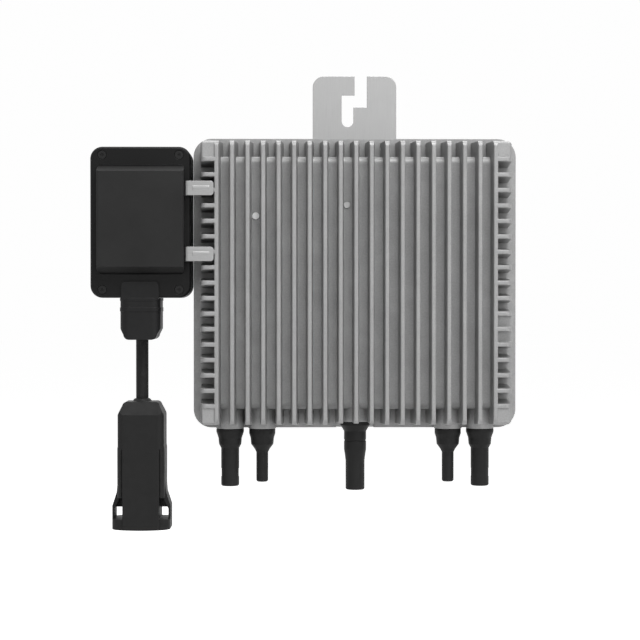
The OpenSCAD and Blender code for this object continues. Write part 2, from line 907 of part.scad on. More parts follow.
module dc_shroud(x) {
  low = seat_z - shroud_len;
  at_body() difference() {
    turned(x, -connector_y) difference() {
      polygon(concat(dc_back(dc_collar_r, 2.4), [
        [shroud_r, seat_z - barrel_start], [shroud_r, low + 0.7], [shroud_r - 0.7, low],
        [0, low]
      ]));
      seal_groove(dc_seal_ring, seat_z);
      rect(-bite, shroud_bore_r, low - bite, low + shroud_bore_len);
      rect(-bite, dc_pin_r + pin_clear, low - bite, 0);
    }
    for (side = [-1, 1]) translate([x + side * shroud_r, -connector_y, low + 9.5])
      cube([5, 4.4, 6], center = true);
  }
}

module dc_nose(x) {
  low = seat_z - nose_len;
  at_body() turned(x, -connector_y) difference() {
    polygon(concat(dc_back(nose_collar_r, 3.6), [
      [nose_r + 1.2, seat_z - nose_start + 2.4], [nose_r, seat_z - nose_start],
      [nose_r, low + 0.8], [nose_r - 0.8, low], [0, low]
    ]));
    seal_groove(dc_seal_ring, seat_z);
    rect(-bite, sleeve_r + pin_clear, low - bite, low + 19);
    rect(-bite, dc_pin_r + pin_clear, low - bite, 0);
  }
}

module dc_shroud_left() {
  color([0.1, 0.1, 0.1]) dc_shroud(-outer_dc_x);
}

module dc_shroud_right() {
  color([0.1, 0.1, 0.1]) dc_shroud(outer_dc_x);
}

module dc_nose_left() {
  color([0.1, 0.1, 0.1]) dc_nose(-inner_dc_x);
}

module dc_nose_right() {
  color([0.1, 0.1, 0.1]) dc_nose(inner_dc_x);
}

module dc_pin_contacts() {
  tip = seat_z - shroud_len + 4;
  top = terminal_z + terminal_h - 3;
  color([0.82, 0.8, 0.74]) at_body() for (x = [-outer_dc_x, outer_dc_x])
    turned(x, -connector_y) polygon([
      [0, tip], [dc_pin_r - 0.7, tip], [dc_pin_r, tip + 1.5], [dc_pin_r, top], [0, top]
    ]);
}

module dc_sleeve_contacts() {
  tip = seat_z - nose_len + 1;
  top = terminal_z + terminal_h - 3;
  color([0.82, 0.8, 0.74]) at_body() for (x = [-inner_dc_x, inner_dc_x])
    turned(x, -connector_y) difference() {
      union() {
        rect(0, sleeve_r, tip, tip + 17.5);
        rect(0, dc_pin_r, tip + 17, top);
      }
      rect(-bite, dc_pin_r, tip - bite, tip + 14);
    }
}

module hex_nut(x, z_low, z_high, r, bore_r, turn) {
  translate([x, -connector_y, z_low]) difference() {
    rotate([0, 0, turn]) cylinder(h = z_high - z_low, r = r, $fn = 6);
    translate([0, 0, -bite]) cylinder(h = z_high - z_low + 2 * bite, r = bore_r);
  }
}

module dc_connector_nuts() {
  color([0.12, 0.12, 0.12]) at_body() for (x = dc_x)
    hex_nut(x, -cavity_z, -cavity_z + nut_t, dc_nut_r, dc_shank_r + screw_clear, 30);
}

// A seal ring lying in its groove just under the seat
module seal_ring(x, y, z, ring) {
  turned(x, y) translate([ring, z - seal_r]) circle(r = seal_r - 0.02);
}

module dc_connector_seals() {
  color([0.2, 0.2, 0.2]) at_body() for (x = dc_x) seal_ring(x, -connector_y, seat_z, dc_seal_ring);
}

// Output connector

module ac_connector() {
  low = seat_z - ac_len;
  top = dc_shank_top;
  color([0.1, 0.1, 0.1]) at_body() difference() {
    turned(0, -connector_y) difference() {
      polygon([
        [0, top], [ac_shank_r, top], [ac_shank_r, ac_seat_z],
        [ac_collar_r - 0.4, ac_seat_z], [ac_collar_r, ac_seat_z - 0.4],
        [ac_collar_r, ac_seat_z - 2.6], [ac_body_r, ac_seat_z - 7],
        [ac_body_r, ac_seam_z + 0.6], [ac_body_r - 0.4, ac_seam_z + 0.2],
        [ac_body_r - 0.4, ac_seam_z - 0.2], [ac_body_r, ac_seam_z - 0.6],
        [ac_body_r, ac_seat_z - 19.8], [ac_barrel_r + 0.4, ac_seat_z - 24.5],
        [ac_barrel_r, ac_seat_z - 28], [ac_barrel_r, low + 0.6], [ac_barrel_r - 0.6, low],
        [0, low]
      ]);
      seal_groove(ac_seal_ring, ac_seat_z);
      rect(-bite, ac_bore_r, low - bite, low + 20);
    }
    for (a = [90, 210, 330])
      rod(
        ac_pin_ring * cos(a), -connector_y + ac_pin_ring * sin(a), low, 0,
        ac_pin_r + pin_clear
      );
  }
}

module ac_contacts() {
  tip = seat_z - ac_len + 3;
  top = terminal_z + terminal_h - 3;
  color([0.82, 0.8, 0.74]) at_body() for (a = [90, 210, 330])
    turned(ac_pin_ring * cos(a), -connector_y + ac_pin_ring * sin(a)) polygon([
      [0, tip], [ac_pin_r - 0.5, tip], [ac_pin_r, tip + 1], [ac_pin_r, top], [0, top]
    ]);
}

module ac_connector_nut() {
  color([0.12, 0.12, 0.12]) at_body()
    hex_nut(0, -cavity_z, -cavity_z + nut_t, ac_nut_r, ac_shank_r + screw_clear, 0);
}

module ac_connector_seal() {
  color([0.2, 0.2, 0.2]) at_body() seal_ring(0, -connector_y, ac_seat_z, ac_seal_ring);
}

// Relay box

module relay_outline() {
  translate([relay_x, relay_rise]) rounded_rect(relay_w, relay_h, relay_r);
}

module relay_inside() {
  translate([relay_x, relay_rise])
    rounded_rect(relay_w - 2 * relay_wall, relay_h - 2 * relay_wall, relay_r - relay_wall);
}

// The chamfered end of the box, from its full outline at y = 0 to its face at y = -relay_edge
module relay_end() {
  c = relay_edge;
  side = relay_w / 2;
  rise = relay_h / 2;
  for (x = [-1, 1], z = [-1, 1])
    translate([x * (side - relay_r), 0, z * (rise - relay_r)]) rotate([90, 0, 0])
      cylinder(h = c, r1 = relay_r, r2 = relay_r - c);
  along_x(-side + relay_r, side - relay_r)
    polygon([[-rise, 0], [-rise + c, -c], [rise - c, -c], [rise, 0]]);
  translate([0, 0, -rise + relay_r]) linear_extrude(relay_h - 2 * relay_r)
    polygon([[-side, 0], [-side + c, -c], [side - c, -c], [side, 0]]);
}

relay_screw_at = [
  for (x = [-1, 1], z = [-1, 1]) [relay_x + x * relay_screw_x, relay_rise + z * relay_screw_z]
];
relay_stand_at = [
  for (x = [-1, 1], z = [-1, 1]) [relay_x + x * relay_stand_x, relay_board_mid + z * relay_stand_z]
];

module relay_box_base() {
  color([0.1, 0.1, 0.11]) at_body() difference() {
    union() {
      difference() {
        union() {
          slab(-relay_back - relay_edge, relay_seam) relay_outline();
          translate([relay_x, -relay_back - relay_edge, relay_rise]) mirror([0, 1, 0]) relay_end();
        }
        slab(relay_floor, relay_seam - bite) relay_inside();
      }
      for (p = relay_screw_at) peg(p[0], p[1], relay_floor + bite, relay_seam, relay_post_r);
      for (p = relay_stand_at) peg(p[0], p[1], relay_floor + bite, relay_board_back, 3);
    }
    for (p = relay_screw_at)
      peg(p[0], p[1], relay_seam + relay_screw_len, relay_seam - bite, box_screw[0] + screw_clear);
    for (p = relay_stand_at)
      peg(p[0], p[1], relay_floor + 1.5, relay_board_back - bite, board_screw[0] + screw_clear);
    rod(lead_x, -cable_y, relay_bottom - bite, relay_bottom + relay_wall + bite,
      outlet_neck_r + pin_clear);
  }
}

module panel_profile(shrink) {
  polygon([
    [-panel_z - panel_h / 2 + shrink, relay_rim + bite],
    [-panel_z - panel_h / 2 + shrink, relay_rim],
    [-panel_z - panel_h / 2 + panel_bevel + shrink, panel_front + shrink],
    [-panel_z + panel_h / 2 - panel_bevel - shrink, panel_front + shrink],
    [-panel_z + panel_h / 2 - shrink, relay_rim],
    [-panel_z + panel_h / 2 - shrink, relay_rim + bite]
  ]);
}

module panel_sides(shrink) {
  half = panel_w / 2 - shrink;
  front = panel_front + shrink;
  polygon([
    [-half - bite, relay_rim + 2 * bite],
    [-half - bite, front + panel_edge + bite],
    [-half + panel_edge + bite, front - bite],
    [half - panel_edge - bite, front - bite],
    [half + bite, front + panel_edge + bite],
    [half + bite, relay_rim + 2 * bite]
  ]);
}

module raised_panel(shrink) {
  intersection() {
    slab(relay_rim + bite, panel_front) translate([panel_x, panel_z])
      rounded_rect(panel_w - 2 * shrink, panel_h - 2 * shrink, 3 - shrink / 2);
    along_x(panel_x - panel_w, panel_x + panel_w) panel_profile(shrink);
    translate([panel_x, 0, panel_z - panel_h]) linear_extrude(2 * panel_h) panel_sides(shrink);
  }
}

module relay_box_cover() {
  groove = box_seal_w + 2 * groove_clear;
  color([0.12, 0.12, 0.13]) at_body() difference() {
    union() {
      difference() {
        union() {
          slab(relay_seam, relay_rim + relay_edge) relay_outline();
          translate([relay_x, relay_rim + relay_edge, relay_rise]) relay_end();
          raised_panel(0);
        }
        raised_panel(relay_wall);
        slab(relay_seam + bite, relay_rim + relay_wall) translate([panel_x, panel_z])
          rounded_rect(panel_w - 2 * relay_wall, panel_h - 2 * relay_wall, 3);
        slab(relay_seam - relay_lid_d / 4, relay_rim - 0.01) translate([panel_x, panel_z])
          rounded_rect(panel_w - 2 * relay_wall, panel_h - 2 * relay_wall, 1.75);
      }
      for (z = [strap_z(upper_rib, upper_shift), strap_z(lower_rib, -lower_shift)])
        translate([strap_foot_x - strap_screw_len - 1, strap_hole_y, z]) rotate([0, 90, 0])
          cylinder(h = strap_screw_len, r = 3.5);
    }
    slab(relay_seam + bite, relay_seam - box_seal_t) translate([relay_x, relay_rise])
      rounded_frame(relay_w - relay_wall, relay_h - relay_wall, relay_r - relay_wall / 2, groove);
    for (p = relay_screw_at) {
      peg(p[0], p[1], relay_seam + bite, relay_rim - bite, box_screw[0] + pin_clear);
      peg(p[0], p[1], relay_rim + 2, relay_rim - bite, box_screw[1] + hole_clear);
    }
    for (z = [strap_z(upper_rib, upper_shift), strap_z(lower_rib, -lower_shift)])
      translate([strap_foot_x - strap_screw_len, strap_hole_y, z]) rotate([0, 90, 0])
        cylinder(h = strap_screw_len + bite, r = box_screw[0] + screw_clear);
  }
}

module relay_box_gasket() {
  color([0.3, 0.3, 0.3]) at_body() slab(relay_seam, relay_seam - box_seal_t)
    translate([relay_x, relay_rise])
      rounded_frame(relay_w - relay_wall, relay_h - relay_wall, relay_r - relay_wall / 2, box_seal_w);
}

module relay_box_screws() {
  color([0.3, 0.3, 0.32]) at_body() for (p = relay_screw_at)
    translate([p[0], relay_rim + 2, p[1]]) rotate([-90, 0, 0]) cap_screw(box_screw, relay_screw_len);
}

module relay_board() {
  color([0.1, 0.35, 0.2]) at_body() slab(relay_board_back, relay_board_front) difference() {
    rect(relay_x - relay_board_w / 2, relay_x + relay_board_w / 2, relay_board_low, relay_board_top);
    for (p = relay_stand_at) translate(p) circle(r = board_screw[0] + pin_clear);
  }
}

module relay_board_screws() {
  color([0.75, 0.75, 0.77]) at_body() for (p = relay_stand_at)
    translate([p[0], relay_board_front, p[1]]) rotate([-90, 0, 0]) cap_screw(board_screw, board_t + 3);
}

module grid_relays() {
  color([0.1, 0.16, 0.3]) at_body() for (x = [-1, 1])
    slab(relay_board_front, relay_board_front - 20)
      translate([relay_x + x * 10, relay_board_mid + 8]) rounded_rect(13, 29, 0.8);
}

module relay_terminals() {
  color([0.2, 0.42, 0.24]) at_body() slab(relay_board_front, relay_board_front - 13)
    translate([relay_x, relay_board_low + 15]) rounded_rect(26, 10, 0.8);
}

module relay_varistor() {
  color([0.15, 0.3, 0.6]) at_body() slab(relay_board_front, relay_board_front - 14)
    translate([relay_x, relay_board_top - 10]) rounded_rect(15, 5, 2.4);
}

// Straps between the relay box and the side ribs

function strap_z(rib, shift) = rib * rib_pitch + shift;

// Outline of a strap's bent end, seen from above
module strap_bend() {
  mid = [strap_foot_x + strap_bend_r, strap_front + strap_bend_r];
  difference() {
    intersection() {
      translate(mid) circle(r = strap_bend_r);
      rect(strap_foot_x - bite, mid[0], strap_front - bite, mid[1]);
    }
    translate(mid) circle(r = strap_bend_r - strap_t);
  }
  rect(strap_foot_x, strap_foot_x + strap_t, mid[1], strap_foot_back);
}

// Outline of a strap's flat length, seen from the front
module strap_flat(z) {
  half = strap_h / 2;
  start = strap_foot_x + strap_bend_r;
  rect(start, strap_end - strap_end_r, z - half, z + half);
  rect(start, strap_end, z - half + strap_end_r, z + half - strap_end_r);
  for (side = [-1, 1])
    translate([strap_end - strap_end_r, z + side * (half - strap_end_r)]) circle(r = strap_end_r);
}

// Section of the bead that stiffens a strap, drawn as (-Z, Y)
module strap_bead(z) {
  r = (bead_w * bead_w / 4 + bead_h * bead_h) / (2 * bead_h);
  intersection() {
    translate([-z, strap_front - bead_h + r]) circle(r = r);
    rect(-z - bead_w, -z + bead_w, strap_front - bite, strap_front + strap_t / 2);
  }
}

module relay_arm(rib, shift) {
  z = strap_z(rib, shift);
  rib_z = rib * rib_pitch;
  at_body() difference() {
    union() {
      translate([0, 0, z - strap_h / 2]) linear_extrude(strap_h) strap_bend();
      slab(strap_back, strap_front) strap_flat(z);
      along_x(strap_foot_x + 2 * strap_bend_r, strap_end - strap_bend_r) strap_bead(z);
      for (side = [-1, 1])
        block(
          strap_end - 1.5 - tongue_w, strap_end - 1.5, strap_back - bite, strap_back + tongue_len,
          rib_z + side * (tongue_in + tongue_t / 2) - tongue_t / 2,
          rib_z + side * (tongue_in + tongue_t / 2) + tongue_t / 2
        );
    }
    translate([strap_foot_x - bite, strap_hole_y, z]) rotate([0, 90, 0])
      cylinder(h = strap_t + 2 * bite, r = box_screw[0] + pin_clear);
  }
}

module relay_arm_upper() {
  color([0.82, 0.82, 0.83]) relay_arm(upper_rib, upper_shift);
}

module relay_arm_lower() {
  color([0.82, 0.82, 0.83]) relay_arm(lower_rib, -lower_shift);
}

module relay_arm_screws() {
  color([0.6, 0.6, 0.62]) at_body()
    for (z = [strap_z(upper_rib, upper_shift), strap_z(lower_rib, -lower_shift)])
      translate([strap_foot_x + strap_t, strap_hole_y, z]) rotate([0, -90, 0])
        cap_screw([box_screw[0], 2.6, 1.6], strap_t + strap_screw_len - 1);
}

// Outlet, cable and plug

module outlet_front_shape() {
  half = outlet_w / 2;
  foot = half - outlet_slant - outlet_r + 0.2;
  polygon([
    [-half, outlet_top], [-half, outlet_end + outlet_slant_h],
    [-half + outlet_slant, outlet_end + 0.8 * outlet_r], [-foot, outlet_end],
    [foot, outlet_end], [half - outlet_slant, outlet_end + 0.8 * outlet_r],
    [half, outlet_end + outlet_slant_h], [half, outlet_top]
  ]);
  for (x = [-1, 1]) translate([x * foot, outlet_end + outlet_r]) circle(r = outlet_r);
}

// A raised lip round the outlet, from one height to another
module outlet_band(z_low, z_high) {
  deep = outlet_back - outlet_front;
  translate([0, outlet_back - deep / 2, z_low]) linear_extrude(z_high - z_low)
    rounded_rect(outlet_w + 2 * outlet_lip, deep + 2 * outlet_lip, 6 + outlet_lip);
}

// Outline of the tab that rises in front of the relay box
module outlet_tab() {
  half = outlet_w / 2 - 1;
  top = outlet_top + outlet_tab_rise;
  rect(-half, half, outlet_top - 1, top - outlet_tab_r);
  rect(-half + outlet_tab_r, half - outlet_tab_r, outlet_top - 1, top);
  for (x = [-1, 1]) translate([x * (half - outlet_tab_r), top - outlet_tab_r])
    circle(r = outlet_tab_r);
}

module outlet_body() {
  deep = outlet_back - outlet_front;
  color([0.11, 0.11, 0.11]) at_body() translate([lead_x, 0, 0]) difference() {
    union() {
      intersection() {
        slab(outlet_back, outlet_front) outlet_front_shape();
        translate([0, outlet_back - deep / 2, outlet_end - bite])
          linear_extrude(outlet_len + 2 * bite) rounded_rect(outlet_w, deep, 6);
      }
      outlet_band(outlet_top - 2, outlet_top);
      outlet_band(outlet_top - 9.4, outlet_top - 6.6);
      slab(relay_rim - 0.1, outlet_front) outlet_tab();
      rod(0, -cable_y, outlet_top - bite, relay_bottom + relay_wall + nut_t + shank_over,
        outlet_neck_r);
    }
    rod(0, -cable_y, outlet_end - bite, outlet_top + 20, cable_r + hole_clear);
    turned(0, -cable_y) seal_groove(outlet_seal_ring, outlet_top);
  }
}

module outlet_nut() {
  low = relay_bottom + relay_wall;
  color([0.12, 0.12, 0.12]) at_body() translate([lead_x, -cable_y, low]) difference() {
    cylinder(h = nut_t, r = outlet_nut_r, $fn = 6);
    translate([0, 0, -bite]) cylinder(h = nut_t + 2 * bite, r = outlet_neck_r + screw_clear);
  }
}

module outlet_seal() {
  color([0.2, 0.2, 0.2]) at_body() seal_ring(lead_x, -cable_y, outlet_top, outlet_seal_ring);
}

// A tube along a straight or bent route, closed at both ends
function ring_point(centre, r, k) =
  centre + [r * cos(360 * k / cable_sides), r * sin(360 * k / cable_sides), 0];

module cable() {
  rings = len(cable_points);
  points = [
    for (p = cable_points, k = [0 : cable_sides - 1]) ring_point(p, cable_r, k)
  ];
  sides = [
    for (i = [0 : rings - 2], k = [0 : cable_sides - 1])
      let (n = (k + 1) % cable_sides, a = i * cable_sides, b = a + cable_sides)
        [a + k, b + k, b + n, a + n]
  ];
  top = [for (k = [0 : cable_sides - 1]) k];
  low = [for (k = [cable_sides - 1 : -1 : 0]) (rings - 1) * cable_sides + k];
  color([0.08, 0.08, 0.08]) polyhedron(points = points, faces = concat(sides, [top], [low]));
}

module plug_front_shape() {
  half = plug_w / 2;
  neck = plug_shoulder_w / 2;
  round_x = neck - plug_shoulder_r;
  edge = plug_top - 0.8 * plug_shoulder_r;
  polygon([
    [-round_x, plug_top], [round_x, plug_top], [neck - 0.1, edge],
    [half, plug_top - plug_shoulder_h], [half, lever_top + 2], [half + 0.5, lever_top],
    [half + 0.5, plug_ear_z + 6], [-half - 0.5, plug_ear_z + 6], [-half - 0.5, lever_top],
    [-half, lever_top + 2], [-half, plug_top - plug_shoulder_h], [-neck + 0.1, edge]
  ]);
  for (x = [-1, 1]) translate([x * round_x, plug_top - plug_shoulder_r])
    circle(r = plug_shoulder_r);
  rect(-plug_core_w / 2, plug_core_w / 2, plug_end + plug_dome, plug_ear_z + 8);
}

// Section of the plug from its side, drawn as (-Z, Y), sloping in towards the cable
module plug_side_shape() {
  half = plug_d / 2;
  slope = plug_shoulder_d / plug_shoulder_h;
  for (side = [0, 1]) translate([0, -cable_y]) mirror([0, side]) polygon([
    [-plug_top - bite, -bite],
    [-plug_top - bite, half - plug_shoulder_d - bite * slope],
    [-plug_top + plug_shoulder_h + bite / slope, half + bite],
    [-plug_end + bite, half + bite],
    [-plug_end + bite, -bite]
  ]);
}

module plug_ear(side) {
  half = plug_w / 2;
  ear = plug_ear_w / 2;
  foot = plug_end + plug_dome;
  slab(-cable_y + 8, -cable_y - 8) scale([side, 1]) polygon([
    [half - 1, plug_ear_z + 18], [half + 0.4, plug_ear_z + 18], [half + 1.2, plug_ear_z + 9.5],
    [ear, plug_ear_z], [ear, foot + 1], [ear - plug_strip_w, foot + 1],
    [ear - plug_strip_w, plug_ear_z - 2], [half - 0.5, plug_ear_z + 4], [half - 1, plug_ear_z + 8]
  ]);
  slab(-cable_y + 6, -cable_y - 1) scale([side, 1]) polygon([
    [plug_core_w / 2 - 1, plug_ear_z + 7], [ear - 3, plug_ear_z + 7],
    [ear - plug_strip_w + 0.5, plug_ear_z - 1.5], [plug_core_w / 2 - 1, plug_ear_z - 1.5]
  ]);
}

// Grooves that set the latch levers off from the front and back of the plug
module plug_grooves() {
  edge = plug_w / 2 - lever_w;
  deep = plug_d / 2 - groove_deep;
  for (side = [-1, 1], face = [-1, 1]) translate([0, -cable_y, 0]) scale([side, face, 1])
    block(edge - groove_wide, edge, deep, plug_d / 2 + bite, plug_ear_z + 5, lever_top);
}

module plug_foot() {
  dome_r = plug_ear_w * plug_ear_w / (8 * plug_dome);
  intersection() {
    translate([0, -cable_y, plug_end - bite]) linear_extrude(plug_flange_t + plug_dome + bite)
      rounded_rect(plug_ear_w, plug_d - 2, 6);
    slab(0, -2 * cable_y) intersection() {
      translate([0, plug_end + dome_r]) circle(r = dome_r, $fn = 360);
      translate([0, plug_end + 10 - bite]) rounded_rect(plug_ear_w + 0.2, 20, 3);
    }
  }
}

module plug_shell() {
  foot = plug_end + plug_dome;
  color([0.12, 0.12, 0.12]) at_body() translate([lead_x, 0, 0]) difference() {
    union() {
      intersection() {
        slab(-cable_y + plug_d / 2, -cable_y - plug_d / 2) plug_front_shape();
        along_x(-plug_w, plug_w) plug_side_shape();
        translate([0, -cable_y, plug_end]) linear_extrude(plug_len + bite)
          rounded_rect(plug_w + 1, plug_d, plug_corner_r);
      }
      translate([0, -cable_y, plug_top - bite])
        cylinder(h = plug_collar_h + bite, r1 = cable_r + 3.5, r2 = cable_r + 1);
      for (side = [-1, 1]) plug_ear(side);
      plug_foot();
    }
    rod(0, -cable_y, plug_end + 30, plug_top + plug_collar_h + bite, cable_r + hole_clear);
    rod(0, -cable_y, plug_top - 8 - plug_seal_len, plug_top - 8, plug_seal_r + screw_clear);
    plug_grooves();
    rod(0, -cable_y, foot + plug_socket_len + plug_insert_len - 2, plug_top - 20, chamber_r);
    rod(0, -cable_y, plug_end - bite, foot + plug_socket_len + plug_insert_len, plug_socket_r);
  }
}

module plug_insert() {
  seat = plug_end + plug_dome + plug_socket_len;
  color([0.2, 0.2, 0.21]) at_body() translate([lead_x, -cable_y, 0]) difference() {
    union() {
      translate([0, 0, seat])
        cylinder(h = plug_insert_len - screw_clear, r = plug_socket_r - screw_clear);
      translate([0, 0, seat - 17]) cylinder(h = 18, r = plug_nose_r);
    }
    for (a = [90, 210, 330])
      translate([ac_pin_ring * cos(a), ac_pin_ring * sin(a), seat - 18])
        cylinder(h = plug_insert_len + 19, r = ac_pin_r + 0.6 + pin_clear);
  }
}

module plug_contacts() {
  seat = plug_end + plug_dome + plug_socket_len;
  color([0.82, 0.8, 0.74]) at_body() translate([lead_x, -cable_y, 0]) for (a = [90, 210, 330])
    translate([ac_pin_ring * cos(a), ac_pin_ring * sin(a), seat - 16]) difference() {
      cylinder(h = plug_insert_len + 15, r = ac_pin_r + 0.6);
      translate([0, 0, -bite]) cylinder(h = 14, r = ac_pin_r);
    }
}

module plug_face_seal() {
  seat = plug_end + plug_dome + plug_socket_len;
  color([0.62, 0.3, 0.16]) at_body() translate([lead_x, -cable_y, seat - 2]) difference() {
    cylinder(h = 2 - 0.02, r = plug_socket_r - screw_clear);
    translate([0, 0, -bite]) cylinder(h = 4, r = plug_nose_r + screw_clear);
  }
}

module plug_cable_seal() {
  color([0.25, 0.25, 0.25]) at_body()
    translate([lead_x, -cable_y, plug_top - 8 - plug_seal_len + 0.02]) difference() {
      cylinder(h = plug_seal_len - 0.04, r = plug_seal_r);
      translate([0, 0, -bite]) cylinder(h = plug_seal_len + 2 * bite, r = cable_r + pin_clear);
    }
}

mounting_bracket();
bracket_screws();
back_plate();
back_plate_screws();
insulating_sheet();
housing_gasket();
front_housing();
status_lens();
vent_plug();
main_board();
board_screws();
transformer_cores();
transformer_windings();
input_capacitors();
film_capacitors();
choke_core();
choke_winding();
power_transistors();
thermal_pads();
control_board();
status_led();
input_terminals();
output_terminals();
dc_shroud_left();
dc_shroud_right();
dc_nose_left();
dc_nose_right();
dc_pin_contacts();
dc_sleeve_contacts();
dc_connector_nuts();
dc_connector_seals();
ac_connector();
ac_contacts();
ac_connector_nut();
ac_connector_seal();
relay_box_base();
relay_box_cover();
relay_box_gasket();
relay_box_screws();
relay_board();
relay_board_screws();
grid_relays();
relay_terminals();
relay_varistor();
relay_arm_upper();
relay_arm_lower();
relay_arm_screws();
outlet_body();
outlet_nut();
outlet_seal();
cable();
plug_shell();
plug_insert();
plug_contacts();
plug_face_seal();
plug_cable_seal();
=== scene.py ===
import bpy
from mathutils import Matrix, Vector


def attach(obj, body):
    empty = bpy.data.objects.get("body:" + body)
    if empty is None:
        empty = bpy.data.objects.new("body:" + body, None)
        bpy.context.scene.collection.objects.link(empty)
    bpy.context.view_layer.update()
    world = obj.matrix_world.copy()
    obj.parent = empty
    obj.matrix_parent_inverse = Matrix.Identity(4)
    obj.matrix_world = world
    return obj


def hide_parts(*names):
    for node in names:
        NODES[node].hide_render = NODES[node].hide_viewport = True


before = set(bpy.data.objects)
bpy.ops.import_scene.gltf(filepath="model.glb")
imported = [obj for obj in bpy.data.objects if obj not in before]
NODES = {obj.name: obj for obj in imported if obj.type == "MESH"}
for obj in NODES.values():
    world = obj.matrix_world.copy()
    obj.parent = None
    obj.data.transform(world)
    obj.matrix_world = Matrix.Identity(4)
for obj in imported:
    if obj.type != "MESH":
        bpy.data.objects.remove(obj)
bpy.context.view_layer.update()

# Lengths are in metres unless a name says otherwise


def add_object(name, data):
    thing = bpy.data.objects.new(name, data)
    bpy.context.scene.collection.objects.link(thing)
    return thing


def turn_to(thing, place, aim):
    """Put a camera or a lamp at a place and turn it towards a point."""
    thing.location = place
    thing.rotation_mode = "QUATERNION"
    thing.rotation_quaternion = (Vector(aim) - Vector(place)).to_track_quat("-Z", "Y")


# Camera

CAMERA_AT = (-0.0342, -1.2045, -0.1284)
CAMERA_AIM = (-0.0198, -0.0045, -0.1428)
LENS_MM = 94.1
SENSOR_MM = 36.0
CLIP_NEAR = 0.05
CLIP_FAR = 40.0


def make_camera():
    data = bpy.data.cameras.new("camera")
    data.lens = LENS_MM
    data.sensor_width = SENSOR_MM
    data.clip_start = CLIP_NEAR
    data.clip_end = CLIP_FAR
    camera = add_object("camera", data)
    turn_to(camera, CAMERA_AT, CAMERA_AIM)
    bpy.context.scene.camera = camera


make_camera()

# Node graphs for materials

# Most of a noise's values lie between these two
NOISE_LOW = 0.3
NOISE_HIGH = 0.7
# Radii that the shading rounds sharp edges to, and how many rays it takes for that
SCREW_EDGE = 0.0003
FINE_EDGE = 0.0004
BROAD_EDGE = 0.0006
CAST_EDGE = 0.0007
EDGE_SAMPLES = 6
# One minus the cosine of a rounded normal's turn, where the paler edges of rubbing and painted
# highlight start and where they are full
WEAR_AND_HIGHLIGHT_STARTS = 0.02
WEAR_AND_HIGHLIGHT_FULL = 0.35
# Noise value at which the patches of paler edges, from rubbing and a painted highlight, begin
PATCH_STARTS = 0.35
# Heights of fine texture
BRUSH_HEIGHT = 0.00005
GRAIN_HEIGHT = 0.0001
CAST_HEIGHT = 0.00012
WIRE_HEIGHT = 0.0004
# Specular levels of moulded surfaces, and of the duller cover and cable
MOULDED_GLOSS = 0.2
DULL_GLOSS = 0.15


def grey(value):
    return (value, value, value, 1.0)


